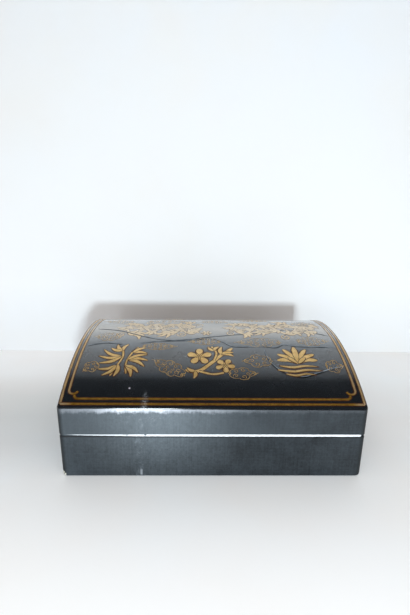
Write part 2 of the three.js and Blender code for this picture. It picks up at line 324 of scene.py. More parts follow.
def new_finish(name, fixed):
    """A material and its shader. What is the same all over is set on the shader's own sockets."""
    finish = bpy.data.materials.new(name)
    finish.use_nodes = True
    shader = finish.node_tree.nodes["Principled BSDF"]
    for socket, value in fixed.items():
        shader.inputs[socket].default_value = value
    spot = Wire.node(finish.node_tree, "ShaderNodeTexCoord", {}, {}, 3)
    return finish, shader, spot


def feed(shader, wires):
    for socket, wire in wires.items():
        shader.id_data.links.new(wire.socket, shader.inputs[socket])


def relief(height, distance):
    """A bump that follows a height."""
    return height.more("ShaderNodeBump", {}, {"Distance": distance, "Height": height})


def near(spot, place, reach, edge=0.5):
    """1 within a reach of a place, fading to 0 over the last part of it."""
    gap = spot.join("SUBTRACT", spot, place)
    length = spot.more("ShaderNodeVectorMath", {"operation": "LENGTH"}, {0: gap}, 1)
    return length.mapped(reach * (1 - edge), reach, 1.0, 0.0, "SMOOTHSTEP")


rub_line = -0.0715              # x of a rubbed strip that crosses the box from front to back
chipped_corner = (-0.1495, -0.1248, 0.0028)
seam_nick = (-0.066, -0.1242, 0.0478)
front_highlight_place = (-0.055, 0.074)   # x and z of the middle of the painted highlight on the front
front_highlight_size = (0.125, 0.13)
seam_shade_height = 0.0455               # height of the line of painted shade in the seam under the rim
rim_middle = 0.0472
tick_height = 0.005             # of a scratch that crosses the foot in the rubbed strip
scuff_and_highlight_strength = [              # along x; scuffs and a painted highlight on the brow
    (-0.15, 0.15), (-0.116, 0.3), (-0.092, 1.0), (-0.047, 1.0), (-0.028, 0.42), (-0.006, 0.34),
    (0.03, 0.1), (0.08, 0.05),
]


def pale_rim_and_seam_shade(spot, colour):
    """The bevelled rim, a pale line of worn ground and painted highlight, over painted shade in the seam.
    """
    x, y, z = spot.split()
    frayed = z + (spot.noise(300.0) - 0.5) * 0.0005
    # Painted shade in the seam under the rim
    seam_shade = abs(frayed - seam_shade_height).mapped(0.0003, 0.0007, 1.0, 0.0)
    colour = seam_shade.blend(colour, (0.008, 0.008, 0.009, 1))
    # A pale line along the bevel, partly worn ground and partly a painted highlight
    pale_line_width = 0.0012 * x.mapped(-0.142, -0.07, 0.2, 1.0) * x.mapped(0.1455, 0.1465, 1.0, 0.0)
    worn_and_lit_line = (abs(frayed - rim_middle) - pale_line_width).mapped(-0.0001, 0.0001, 1.0, 0.0)
    worn_and_lit_line = worn_and_lit_line * x.mapped(-0.1425, -0.134, 0.18, 1.0)
    kept = spot.noise(90.0, 4.0).mapped(0.68, 0.74, 0.0, 1.0)
    nick = near(spot, seam_nick, 0.0017, 0.5)
    return (worn_and_lit_line * (1.0 - kept) * (1.0 - nick)).blend(colour, (0.7, 0.72, 0.75, 1))


def scuffed_and_lit_brow(spot, colour, streak, speck, flaked):
    """The brow of the lid, paler most of all left of its middle from scuffs and a painted highlight, with
    flakes under it.
    """
    x, y, z = spot.split()
    is_front = abs(y).mapped(0.1215, 0.1225, 0.0, 1.0)
    level = z + (spot.noise(150.0, 5.0, 0.75) - 0.5) * 0.01 + (streak - 0.5) * 0.003
    band = level.mapped(0.0705, 0.0748, 0.0, 1.0, "SMOOTHSTEP") * is_front
    # Scuffs and a painted highlight, strongest left of the middle
    scuff_and_highlight = band * ruler(x, scuff_and_highlight_strength) * (0.55 + speck * 0.5 + streak * 0.25)
    colour = scuff_and_highlight.blend(colour, (0.62, 0.65, 0.72, 1))
    flakes = flaked.mapped(0.56, 0.7, 0.0, 0.45) * z.mapped(0.054, 0.07, 0.0, 1.0) * is_front
    flakes = flakes * x.mapped(-0.11, -0.085, 0.0, 1.0) * x.mapped(-0.05, -0.02, 1.0, 0.0)
    return flakes.blend(colour, (0.4, 0.43, 0.47, 1))


def shaded_corners(spot, colour, mottle):
    """Painted shade on the rounded upright corners, and a scratch across the foot."""
    x, y, z = spot.split()
    # Painted shade on the rounded corners
    corner = abs(x).mapped(0.1445, 0.1474, 0.0, 0.8) * abs(y).mapped(0.119, 0.122, 0.0, 1.0)
    colour = corner.blend(colour, (0.008, 0.01, 0.011, 1))
    tick = abs(x - rub_line - 0.0005).mapped(0.0006, 0.0016, 1.0, 0.0)
    tick = tick * abs(y).mapped(0.1215, 0.1225, 0.0, 1.0)
    tick = tick * abs(z - tick_height).mapped(0.0022, 0.0042, 1.0, 0.0) * mottle
    return tick.blend(colour, (0.33, 0.355, 0.385, 1))


def satin(spot):
    """The colour, roughness and height of lacquer dulled by handling, with painted light and shade in its
    colour.
    """
    x, y, z = spot.split()
    streak = vector(x * 650.0, y * 650.0, z * 24.0).noise(1.0, 4.0, 0.6)
    brushed = vector(x * 16.0, y * 16.0, z * 480.0).noise(1.0, 4.0, 0.6)
    cloud = spot.noise(38.0, 4.0, 0.55)
    speck = spot.noise(1400.0, 2.0)
    mottle = spot.noise(420.0, 4.0, 0.75)
    flaked = spot.noise(620.0, 4.0, 0.75)
    tone = streak * 0.3 + brushed * 0.3 + cloud * 0.6 + speck * 0.25 + mottle * 0.6 - 0.55
    tone = tone.mapped(0.25, 0.85, 0.0, 1.0)
    # Painted light: the tone rises towards the left end
    tone = tone + x.mapped(-0.15, -0.1, 0.5, 0.0)
    colour = tone.blend((0.004, 0.006, 0.008, 1), (0.036, 0.045, 0.053, 1))
    # The lid's sides are a little paler than the base's, partly rubbed and partly painted sheen, strongest
    # to the left
    paler_and_sheen = z.mapped(0.0474, 0.0476, 0.0, 1.0) * x.mapped(0.0, 0.13, 0.42, 0.05)
    colour = paler_and_sheen.blend(colour, (0.07, 0.085, 0.098, 1))
    # A painted highlight on the front, broken into blotches
    across, up = (x - front_highlight_place[0]) / front_highlight_size[0], (z - front_highlight_place[1]) / front_highlight_size[1]
    front_highlight = ((across * across + up * up) ** 0.5).mapped(0.0, 1.0, 1.0, 0.0, "SMOOTHSTEP")
    front_highlight = front_highlight * front_highlight * y.mapped(-0.124, -0.12, 1.0, 0.0)
    blotched = streak * 0.45 + speck * 0.35 + mottle * 0.9 - 0.15
    colour = (front_highlight * blotched).blend(colour, (0.15, 0.178, 0.2, 1))
    strip = abs(x - rub_line + (spot.noise(70.0) - 0.5) * 0.012)
    strip = strip.mapped(0.002, 0.012, 1.0, 0.0, "SMOOTHSTEP")
    flake = vector(x * 260.0, y * 260.0, z * 170.0).noise(1.0, 5.0, 0.65)
    rubbing_and_highlight = (strip * flake * (0.7 + speck * 0.5)).mapped(0.46, 0.7, 0.0, 0.4)
    colour = rubbing_and_highlight.blend(colour, (0.22, 0.25, 0.28, 1))
    colour = pale_rim_and_seam_shade(spot, colour)
    colour = scuffed_and_lit_brow(spot, colour, streak, speck, flaked)
    colour = shaded_corners(spot, colour, mottle)
    chip = near(spot + (mottle - 0.5) * 0.004, chipped_corner, 0.0036, 0.25)
    chip = chip * flaked.mapped(0.42, 0.5, 0.1, 1.0)
    colour = chip.blend(colour, (0.5, 0.49, 0.42, 1))
    gloss = 0.33 + tone * 0.14 + rubbing_and_highlight * 0.1 + chip * 0.3
    height = streak * 0.35 + speck * 0.4 + cloud - chip * 2.0
    return colour, gloss, height


def satin_lacquer():
    finish, shader, spot = new_finish(
        "satin_lacquer", {"Coat Roughness": 0.3, "IOR": 1.53, "Specular IOR Level": 0.25},
    )
    colour, gloss, height = satin(spot)
    coat = spot.noise(26.0, 2.0).mapped(0.35, 0.7, 0.0, 0.12)
    feed(shader, {"Base Color": colour, "Roughness": gloss, "Coat Weight": coat,
                  "Normal": relief(height, 0.00004)})
    return finish


skin_thickness = 0.0008
wall_thickness = 0.0081     # coat, glue and board, from the outside to the hollow
corner_radius = 0.003
shy = 0.00002               # the skins stay this far inside the boards' own box

base_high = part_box("base_lacquer_coat")[1]
foot = {"End Edge In": 0.0045, "End Edge Down": 0.0045, "Front Edge In": 0.0016, "Front Edge Down": 0.0016}
satin_finish = satin_lacquer()
base_skin = grown(
    "base_lacquer", bpy.data.meshes.new("start"), box_tree,
    {
        "Half Width": base_high.x - shy, "Half Depth": base_high.y - shy,
        "Wall Height": base_high.z - shy, "Vault Radius": 1000.0, "Corner Radius": corner_radius,
        **foot, "Rim In": 0.0013, "Rim Up": 0.0022, "Rim Sharpness": 1.25,
        "Rim Width": wall_thickness, "Is Open": True, "Turn": (math.pi, 0, 0),
        "Rise": (0, 0, base_high.z), "Material": satin_finish,
    },
    wall=skin_thickness,
)
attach(base_skin, "base")
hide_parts("base_lacquer_coat")

# The bottom board
# A flat board closes the base under the four walls. It is glued and pegged up against them, and
# the face that shows inside is lacquered red.


def red_lacquer():
    finish, shader, spot = new_finish("red_lacquer", {"Coat Roughness": 0.12, "IOR": 1.52})
    x, y, z = spot.split()
    cloud = spot.noise(24.0, 4.0, 0.55)
    brush = vector(x * 40.0, y * 420.0, z * 420.0).noise(1.0, 4.0, 0.6)
    tone = (cloud * 0.65 + brush * 0.5 - 0.1).mapped(0.25, 0.8, 0.0, 1.0)
    colour = tone.blend((0.115, 0.008, 0.006, 1), (0.26, 0.026, 0.016, 1))
    feed(shader, {"Base Color": colour, "Roughness": 0.3 + tone * 0.18, "Coat Weight": 0.35 + cloud * 0.5,
                  "Normal": relief(brush + cloud * 0.6, 0.00003)})
    return finish


red_finish = red_lacquer()
board_inset = 0.0011
bottom_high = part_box("base_bottom_board")[1]
bottom_lift = skin_thickness + 0.0003
bottom_board = grown(
    "bottom_board", bpy.data.meshes.new("start"), box_tree,
    {
        "Half Width": base_high.x - board_inset, "Half Depth": base_high.y - board_inset,
        "Wall Height": bottom_high.z - bottom_lift, "Vault Radius": 1000.0, "Corner Radius": 0.002,
        "End Edge In": 0.0036, "End Edge Down": 0.0036, "Front Edge In": 0.0012, "Front Edge Down": 0.0012,
        "Rim In": 0.0003, "Rim Up": 0.0003, "Rim Sharpness": 2.0, "Rim Width": 0.008, "Is Open": False,
        "Turn": (math.pi, 0, 0), "Rise": (0, 0, bottom_high.z), "Material": red_finish,
    },
)
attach(bottom_board, "base")
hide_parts("base_bottom_board")


def coat(node, finish):
    node.data.materials.clear()
    node.data.materials.append(finish)


for name, node in nodes.items():
    if name.endswith(("_board", "_rail", "_end")) or "_stave_" in name:
        coat(node, red_finish)

# The pegs
# Split bamboo, shaved round, driven through the corners and up through the bottom board.


def bamboo():
    finish, shader, spot = new_finish("bamboo", {"IOR": 1.5})
    fibre = vector(*(part * 1800.0 for part in spot.split())).noise(1.0, 5.0, 0.7)
    tone = fibre.mapped(0.3, 0.7, 0.0, 1.0)
    colour = tone.blend((0.36, 0.21, 0.07, 1), (0.66, 0.48, 0.22, 1))
    feed(shader, {"Base Color": colour, "Roughness": 0.5 + tone * 0.2, "Normal": relief(fibre, 0.00005)})
    return finish


bamboo_finish = bamboo()
for name, node in nodes.items():
    if "_peg_" in name:
        coat(node, bamboo_finish)

# The lacquer on the lid
# The same skin covers the lid. Its vault is polished to a black gloss, and its upright sides are
# dulled like the base's. It turns in over the lower edge.
vault_rise = 0.036
gilding_height = 0.00015    # the vault lies this much under the gilding's top

lid_low, lid_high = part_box("lid_lacquer_coat")
half_depth = lid_high.y - shy
outer_radius = (lid_high.y ** 2 + vault_rise ** 2) / (2 * vault_rise)
axis_height = lid_high.z - outer_radius
vault_radius = outer_radius - gilding_height
spring_height = axis_height + math.sqrt(vault_radius ** 2 - half_depth ** 2)
pale_dot = (-0.0828, -0.1055, 0.088)


def lid_lacquer():
    finish, shader, spot = new_finish(
        "lid_lacquer", {"Coat Roughness": 0.1, "Coat IOR": 1.8, "IOR": 1.53, "Specular IOR Level": 0.3},
    )
    x, y, z = spot.split()
    out = (y * y + (z - axis_height) * (z - axis_height)) ** 0.5
    worn_edge = out - vault_radius + x.mapped(-0.09, 0.07, 0.0, 0.0005)
    worn_edge = worn_edge + (spot.noise(120.0) - 0.5) * 0.0006
    gloss = worn_edge.mapped(-0.0014, -0.0011, 0.0, 1.0)
    dull, dull_roughness, dull_height = satin(spot)
    haze = spot.noise(30.0, 4.0, 0.6)
    hairline = vector(x * 60.0, y * 900.0, z * 200.0).noise(1.0, 4.0, 0.7)
    black = (haze * 0.6 + hairline * 0.4).blend((0.001, 0.0015, 0.002, 1), (0.007, 0.008, 0.01, 1))
    # Over the crown the varnish has gone milky, less and less towards a cloudy edge; its colour is also a
    # painted reflection, bluish low down and warm at the crown
    wander = vector(x * 26.0, y * 34.0, 0.0).noise(1.0, 5.0, 0.6)
    crown = abs(y) + (wander - 0.5) * 0.05
    milky_and_mirrored = crown.mapped(0.0, 0.066, 1.0, 0.0, "SMOOTHSTEP") + crown.mapped(0.05, 0.11, 0.1, 0.0)
    milk_and_reflection = abs(y).mapped(0.0, 0.042, 1.0, 0.0).blend((0.086, 0.114, 0.142, 1), (0.34, 0.33, 0.31, 1))
    black = (milky_and_mirrored * (0.6 + haze * 0.8)).blend(black, milk_and_reflection)
    dot = near(spot, pale_dot, 0.0013, 0.6)
    black = dot.blend(black, (0.36, 0.33, 0.38, 1))
    strip = abs(x - rub_line - 0.005).mapped(0.001, 0.01, 1.0, 0.0)
    strip = strip * y.mapped(-0.118, -0.085, 1.0, 0.0)
    scratch = spot.noise(700.0, 4.0, 0.8)
    black = (strip * scratch).mapped(0.36, 0.6, 0.0, 0.5).blend(black, (0.24, 0.26, 0.28, 1))
    colour = gloss.blend(dull, black)
    # The edges of the vault's ends are painted pale as a highlight, in broken patches
    arris_highlight = abs(x).mapped(0.1481, 0.1493, 0.0, 1.0) * worn_edge.mapped(-0.003, -0.0024, 0.0, 1.0)
    arris_highlight = arris_highlight * abs(y).mapped(0.085, 0.12, 1.0, 0.3)
    rubbing_and_highlight = spot.noise(240.0, 4.0, 0.7).mapped(0.35, 0.6, 0.25, 1.0)
    colour = (arris_highlight * rubbing_and_highlight).blend(colour, (0.34, 0.32, 0.29, 1))
    roughness = dull_roughness + gloss * (0.2 + haze * 0.12 + milky_and_mirrored * 0.15 - dull_roughness)
    height = dull_height * (1.0 - gloss) + gloss * (haze * 0.25 + hairline * 0.1)
    feed(shader, {"Base Color": colour, "Roughness": roughness, "Coat Weight": gloss,
                  "Normal": relief(height, 0.00004)})
    return finish


vault_finish = lid_lacquer()
lid_skin = grown(
    "lid_lacquer", bpy.data.meshes.new("start"), box_tree,
    {
        "Half Width": lid_high.x - shy, "Half Depth": half_depth, "Wall Height": spring_height - lid_low.z,
        "Vault Radius": vault_radius, "Corner Radius": corner_radius,
        "End Edge In": 0.002, "End Edge Down": 0.002, "Front Edge In": 0.0022, "Front Edge Down": 0.0044,
        "Rim In": 0.0005, "Rim Up": 0.0005, "Rim Sharpness": 2.0, "Rim Width": wall_thickness,
        "Is Open": True, "Turn": (0, 0, 0), "Rise": (0, 0, lid_low.z), "Material": vault_finish,
    },
    wall=skin_thickness,
)
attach(lid_skin, "lid")
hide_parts("lid_lacquer_coat")

# The gilt border
# Two painted gold lines run round the vault. Each stroke lies on a wider one of red-brown
# size, the varnish that holds the gold. At the corners the inner line ends in a notched curl.


def brush(tree, curve, size):
    """Turns drawn lines into low strokes of paint and lays them round the vault.

    Each stroke tops out a layer above the one before, so that its outline covers that one's gold.
    """
    turned = curve.more("GeometryNodeSetCurveNormal", {"mode": "Z_UP"}, {"Curve": curve})
    index = Wire.node(tree, "GeometryNodeInputIndex", {}, {})
    turn = index.join("MODULO", index, size["Layers"])
    note = {"Geometry": turned, "Name": "layer", "Value": (turn + size["Lift"]) / size["Layers"]}
    noted = curve.more("GeometryNodeStoreNamedAttribute", {"data_type": "FLOAT", "domain": "CURVE"}, note)
    place = Wire.node(tree, "GeometryNodeInputPosition", {}, {})
    hand = place.noise(160.0, 2.0).mapped(0.3, 0.7, 0.86, 1.1)
    half_width = Wire.node(tree, "GeometryNodeInputRadius", {}, {}) * hand + size["Spread"]
    hair = Wire.node(tree, "GeometryNodeCurvePrimitiveCircle", {}, {"Resolution": 10, "Radius": 1.0})
    sweep = {"Curve": noted, "Profile Curve": hair, "Scale": half_width, "Fill Caps": True}
    stroke = curve.more("GeometryNodeCurveToMesh", {}, sweep)
    layer = Wire.node(tree, "GeometryNodeInputNamedAttribute", {"data_type": "FLOAT"}, {"Name": "layer"})
    x, y, z = place.split()
    out = (z * 0.4).least(size["Height"] * layer).most(size["Height"] * -0.5) + size["Vault Radius"]
    angle = y / size["Vault Radius"]
    across = out * angle.more("ShaderNodeMath", {"operation": "SINE"}, {0: angle})
    upward = out * angle.more("ShaderNodeMath", {"operation": "COSINE"}, {0: angle}) + size["Axis Height"]
    wrap = {"Geometry": stroke, "Position": vector(x, across, upward)}
    end_tree(tree, curve.more("GeometryNodeSetPosition", {}, wrap), size["Material"])


paint_inputs = {
    "Vault Radius": "Float", "Axis Height": "Float", "Height": "Float", "Spread": "Float", "Lift": "Float",
    "Layers": "Float",
}
line_tree, line_inputs = new_tree("painted_lines", paint_inputs)
brush(line_tree, line_inputs["Geometry"], line_inputs)


def along(points, share):
    """The point a share of the way along a smooth curve through the points."""
    spans = len(points) - 1
    first = min(int(share * spans), spans - 1)
    s = share * spans - first
    before, start, end, after = (
        Vector(points[i]) for i in (max(first - 1, 0), first, first + 1, min(first + 2, spans))
    )
    return 0.5 * (
        2 * start + (end - before) * s
        + (2 * before - 5 * start + 4 * end - after) * s ** 2
        + (3 * start - before - 3 * end + after) * s ** 3
    )


def add_stroke(drawing, points, half_width, swell, steps=26):
    """Draws a brush stroke on the unrolled vault. swell gives its fullness at a share of its length."""
    stroke = drawing.splines.new("POLY")
    stroke.points.add(steps)
    for i, point in enumerate(stroke.points):
        spot = along(points, i / steps)
        point.co = (spot[0], spot[1], 0, 1)
        point.radius = half_width * max(swell(i / steps), 0.04)


def straight(legs, spacing=0.0012):
    """Points set closely along straight legs, so that a stroke through them keeps their corners."""
    points = [legs[0]]
    for start, end in zip(legs, legs[1:]):
        run = Vector(end) - Vector(start)
        count = max(1, round(run.length / spacing))
        points += [tuple(Vector(start) + run * (i / count)) for i in range(1, count + 1)]
    return points


def full(share):
    return 1.0


def even(share):
    return min(1.0, 14 * share + 0.3, 14 * (1 - share) + 0.3)


def leaf(share):
    return math.sin(math.pi * share ** 0.8) ** 0.85


def petal(share):
    return math.sin(math.pi * share ** 1.35) ** 0.7


def arc(centre, radius, start, end, steps=8):
    """Points round an arc, its angles in degrees."""
    angles = [math.radians(start + (end - start) * i / steps) for i in range(steps + 1)]
    return [(centre[0] + radius * math.cos(a), centre[1] + radius * math.sin(a)) for a in angles]


def gold_leaf(name, deep, bright, shine):
    finish, shader, spot = new_finish(name, {"Coat Roughness": 0.2, "IOR": 1.5})
    x, y, z = spot.split()
    cloud = spot.noise(170.0, 5.0, 0.65)
    grain = spot.noise(2600.0, 2.0, 0.7)
    tone = (cloud * 1.1 + grain * 0.3 - 0.2).mapped(0.3, 0.75, 0.0, 1.0)
    colour = tone.blend((*deep, 1), (*bright, 1))
    handled = abs(y).mapped(0.1185, 0.1195, 0.0, 0.07)
    worn = (spot.noise(330.0, 5.0, 0.7) + grain * 0.15 + handled).mapped(0.68, 0.78, 0.0, 1.0)
    colour = worn.blend(colour, (0.06, 0.02, 0.008, 1))
    # Paler under the milky varnish of the crown, with a painted reflection there and on the side lines
    pale_film_and_reflection = abs(y).mapped(0.0, 0.056, 0.85, 0.0).most(abs(x).mapped(0.136, 0.142, 0.0, 0.3))
    colour = pale_film_and_reflection.blend(colour, (0.68, 0.61, 0.5, 1))
    scratch = vector(x * 900.0, y * 420.0, z * 420.0).noise(1.0, 4.0, 0.75)
    rubbing_and_highlight = abs(x - rub_line - 0.005).mapped(0.001, 0.01, 1.0, 0.0) * scratch
    colour = rubbing_and_highlight.mapped(0.3, 0.62, 0.0, 0.5).blend(colour, (0.7, 0.64, 0.55, 1))
    feed(shader, {"Base Color": colour, "Metallic": (1.0 - worn) * (0.9 - pale_film_and_reflection * 0.5),
                  "Roughness": 0.34 + tone * 0.18, "Coat Weight": cloud * shine,
                  "Normal": relief(cloud + grain * 0.4, 0.00012)})
    return finish


def gold_size():
    finish, shader, spot = new_finish(
        "gold_size", {"Coat Roughness": 0.15, "IOR": 1.5, "Specular IOR Level": 0.2},
    )
    cloud = spot.noise(220.0, 3.0)
    colour = cloud.blend((0.02, 0.005, 0.001, 1), (0.075, 0.022, 0.005, 1))
    feed(shader, {"Base Color": colour, "Roughness": 0.35 + cloud * 0.2, "Coat Weight": cloud * 0.2})
    return finish


line_finish = gold_leaf("line_gold", (0.34, 0.17, 0.02), (0.66, 0.36, 0.055), 0.15)
leaf_finish = gold_leaf("leaf_gold", (0.62, 0.38, 0.12), (0.94, 0.67, 0.3), 0.4)
size_finish = gold_size()
paint_relief = 0.00014


def paint(name, drawing, finish, spread, lift, layers, slot="gilt", tree=None, **more):
    """One coat of a drawing, as a piece of the lid."""
    sizes = {"Vault Radius": vault_radius, "Axis Height": axis_height, "Height": paint_relief,
             "Spread": spread, "Lift": lift, "Layers": layers, "Material": finish, **more}
    piece = grown(name, drawing.copy(), tree or line_tree, sizes)
    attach(piece, "lid")


def gild(name, drawing, gold, spread=0.0008, layers=None, **more):
    """A drawing in gold, each stroke over its own wider stroke of size."""
    layers = layers or len(drawing.splines)
    paint(name + "_size", drawing, size_finish, spread, 0.3, layers, **more)
    paint(name + "_gold", drawing, gold, 0.0, 0.9, layers, **more)


def new_drawing(name):
    drawing = bpy.data.curves.new(name, "CURVE")
    drawing.dimensions = "3D"
    return drawing


line_half_width = 0.0011
outer_x, inner_x = 0.1471, 0.1417
outer_y, inner_y = 0.1272, 0.1216   # measured along the curve of the vault from its crown
hook_radius = 0.0046
hook_y = inner_y - 0.0101
turn_radius = 0.0044
turn_x = inner_x - 0.0107
border = new_drawing("border")
lines = []
for side in (-1, 1):
    lines.append([(side * outer_x, -outer_y), (side * outer_x, outer_y)])
    lines.append([(-outer_x, side * outer_y), (outer_x, side * outer_y)])
    # The side line curls inwards at both ends, and the front line turns up to meet the curl
    hook = arc((side * (inner_x - hook_radius), hook_y), side * hook_radius, 0, side * 160, 14)
    lines.append([(x, -y) for x, y in reversed(hook)] + hook)
    quarter = arc((turn_x, side * (inner_y - turn_radius)), turn_radius, side * 90, 0, 6)
    lines.append([(-x, y) for x, y in reversed(quarter)] + quarter)
for line in lines:
    line = straight(line)
    add_stroke(border, line, line_half_width, full, len(line) - 1)
gild("border", border, line_finish, 0.0006)

# The sprays
# Three bold motifs stand in a row on the front of the vault, a bamboo, a plum and a lotus, in
# full strokes of gold with the red-brown size left showing round them.


def add_fan(drawing, root, angles, length, half_width, swell, bow=0.12):
    """Strokes that spread from a root, each bowed a little to one side."""
    for angle in angles:
        run = Vector((math.cos(math.radians(angle)), math.sin(math.radians(angle)))) * length
        sway = Vector((-run.y, run.x)) * bow
        start = Vector(root)
        add_stroke(drawing, [start, start + run * 0.5 + sway, start + run], half_width, swell)


def moved(points, centre):
    return [(centre[0] + x, centre[1] + y) for x, y in points]


bamboo_place = (-0.095, -0.069)
bamboo_spray = new_drawing("bamboo_spray")
stalks = (
    [(-0.010, -0.025), (-0.004, -0.008), (-0.001, 0.006), (-0.004, 0.023)],
    [(0.006, -0.022), (0.004, -0.006), (0.008, 0.010), (0.014, 0.021)],
)
for stalk in stalks:
    add_stroke(bamboo_spray, moved(stalk, bamboo_place), 0.001, even)
for root, angles, length in (
    ((-0.003, 0.014), (68, 118, 158), 0.014),
    ((0.009, 0.011), (-6, 34), 0.016),
    ((-0.002, 0.004), (150, 178, 205), 0.025),
    ((0.005, -0.001), (-30, -4, 22), 0.022),
    ((-0.005, -0.010), (196, 226), 0.020),
    ((0.004, -0.010), (-66, -36), 0.018),
    ((-0.004, -0.009), (262,), 0.017),
):
    add_fan(bamboo_spray, moved([root], bamboo_place)[0], angles, length, 0.0023, leaf)
gild("bamboo_spray", bamboo_spray, leaf_finish)

plum_place = (-0.002, -0.068)
plum_spray = new_drawing("plum_spray")
for branch, half_width in (
    ([(-0.026, -0.017), (-0.013, -0.019), (0.000, -0.008), (0.012, 0.006), (0.025, 0.019)], 0.0021),
    ([(0.004, -0.003), (0.007, 0.010), (0.002, 0.022)], 0.0013),
    ([(-0.012, -0.019), (0.002, -0.023), (0.014, -0.021)], 0.0013),
):
    add_stroke(plum_spray, moved(branch, plum_place), half_width, even)
add_fan(plum_spray, moved([(0.012, 0.008)], plum_place)[0], (-14, 12, 84), 0.014, 0.0025, leaf)
add_fan(plum_spray, moved([(0.004, 0.014)], plum_place)[0], (52, 128), 0.010, 0.0021, leaf)
add_fan(plum_spray, moved([(-0.016, -0.019)], plum_place)[0], (150, 262), 0.010, 0.0021, leaf)
for centre, reach, half_width, turn in (
    ((-0.0115, 0.004), 0.0135, 0.0047, 90),
    ((0.0155, -0.0105), 0.0105, 0.0036, 60),
):
    start = moved([centre], plum_place)[0]
    for k in range(5):
        angle = math.radians(turn + 72 * k)
        run = Vector((math.cos(angle), math.sin(angle)))
        line = [Vector(start) + run * reach * share for share in (0.16, 0.6, 1.0)]
        add_stroke(plum_spray, line, half_width, petal)
    between = [turn + 36 + 72 * k for k in range(5)]
    add_fan(plum_spray, start, between, reach * 0.42, 0.0006, even, 0)
gild("plum_spray", plum_spray, leaf_finish)

lotus_place = (0.0915, -0.0695)
lotus_spray = new_drawing("lotus_spray")
lotus_heart = moved([(0, -0.006)], lotus_place)[0]
for spread_angle, length, bow in ((76, 0.0225, 0.16), (52, 0.0255, 0.1), (27, 0.028, 0.05)):
    for side in (-1, 1):
        add_fan(lotus_spray, lotus_heart, (90 - side * spread_angle,), length, 0.0031, petal, side * bow)
add_fan(lotus_spray, lotus_heart, (90,), 0.030, 0.0036, petal, 0)
for spread_angle in (-40, 40):
    add_fan(lotus_spray, lotus_heart, (90 + spread_angle,), 0.014, 0.0026, petal, 0)
for level, reach, half_width in (
    (-0.0105, 0.021, 0.0019),
    (-0.0165, 0.024, 0.0018),
    (-0.022, 0.016, 0.0015),
):
    heights = (0.0015, -0.001, 0.0012, 0.0)
    ripple = [(reach * (2 * i / 3 - 1), level + height) for i, height in enumerate(heights)]
    add_stroke(lotus_spray, moved(ripple, lotus_place), half_width, leaf)
gild("lotus_spray", lotus_spray, leaf_finish)

# The clouds
# Curled clouds are scattered over the vault in thin gold lines. Two drawings, a long cloud and a
# round one, are repeated, turned and stretched.


def cloud_tree():
    tree, size = new_tree("scattered_clouds", {**paint_inputs, "Cloud": "Object"})
    info = Wire.node(tree, "GeometryNodeObjectInfo", {}, {"Object": size["Cloud"]}, 4)

    def noted(name, kind):
        return Wire.node(tree, "GeometryNodeInputNamedAttribute", {"data_type": kind}, {"Name": name})

    lay = {"Points": size["Geometry"], "Instance": info, "Rotation": noted("turn", "FLOAT_VECTOR"),
           "Scale": noted("stretch", "FLOAT_VECTOR")}
    laid = info.more("GeometryNodeInstanceOnPoints", {}, lay)
    real = info.more("GeometryNodeRealizeInstances", {}, {"Geometry": laid})
    brush(tree, real, size)
    return tree


def add_curl(drawing, centre, radius, start, turns, half_width):
    """A line that winds inwards. Turns below 0 wind clockwise."""
    steps = 28
    points = []
    for i in range(steps + 1):
        share = i / steps
        angle = math.radians(start) + 2 * math.pi * turns * share
        reach = radius * (1 - 0.85 * share)
        points.append((centre[0] + reach * math.cos(angle), centre[1] + reach * math.sin(angle)))
    add_stroke(drawing, points, half_width, even, steps)


def draw_cloud(name, half_size, lobes, heart, tail):
    """Scallops round an oval, a ring of curls in them, curls along the heart, and drifting lines."""
    drawing = new_drawing(name)
    line = 0.00027
    for k in range(lobes):
        first, last = (2 * math.pi * (k + end) / lobes for end in (0, 1))
        scallop = []
        for i in range(9):
            angle = first + (last - first) * i / 8
            swell = 0.78 + 0.26 * math.sin(math.pi * i / 8) ** 0.8
            point = 1 + 0.16 * math.cos(angle) ** 8
            scallop.append((
                half_size[0] * swell * point * math.cos(angle), half_size[1] * swell * math.sin(angle),
            ))
        add_stroke(drawing, scallop, line, even, 16)
        middle = (first + last) / 2
        centre = (half_size[0] * 0.6 * math.cos(middle), half_size[1] * 0.58 * math.sin(middle))
        add_curl(drawing, centre, half_size[1] * 0.31, math.degrees(middle), 1.1 if k % 2 else -1.1, line)
    for k, place in enumerate(heart):
        add_curl(drawing, (place, 0.0), half_size[1] * 0.24, 180 * k, 1.0 if k % 2 else -1.0, line)
    for side in (-1, 1):
        for drift in range(2):
            reach = tail * (0.5 if side > 0 else 1) * (1 - 0.35 * drift)
            lift = 0.0018 * drift
            start = half_size[0] * 0.88
            points = [
                (start, lift - 0.001), (start + reach * 0.35, lift - 0.0026),
                (start + reach * 0.7, lift), (start + reach, lift - 0.0012),
            ]
            add_stroke(drawing, [(side * x, y) for x, y in points], line, even)
    return drawing


def scatter(name, drawing, places):
    """Lays a cloud at each place, and again at the opposite place on the back of the vault."""
    laid = [(x, y, turn, wide, high) for (x, y), turn, (wide, high) in places]
    laid += [(-x, -y, turn + 180, wide, high) for x, y, turn, wide, high in laid]
    mesh = bpy.data.meshes.new(name)
    mesh.from_pydata([(x, y, 0) for x, y, *_ in laid], [], [])
    turns = mesh.attributes.new("turn", "FLOAT_VECTOR", "POINT").data
    stretches = mesh.attributes.new("stretch", "FLOAT_VECTOR", "POINT").data
    for i, (_, _, turn, wide, high) in enumerate(laid):
        turns[i].vector = (0, 0, math.radians(turn))
        stretches[i].vector = (wide, high, 1)
    pattern = bpy.data.objects.new(name + "_pattern", drawing)
    gild(name, mesh, leaf_finish, 0.0002, 1, tree=scattered, Cloud=pattern)
    bpy.data.objects.remove(pattern)


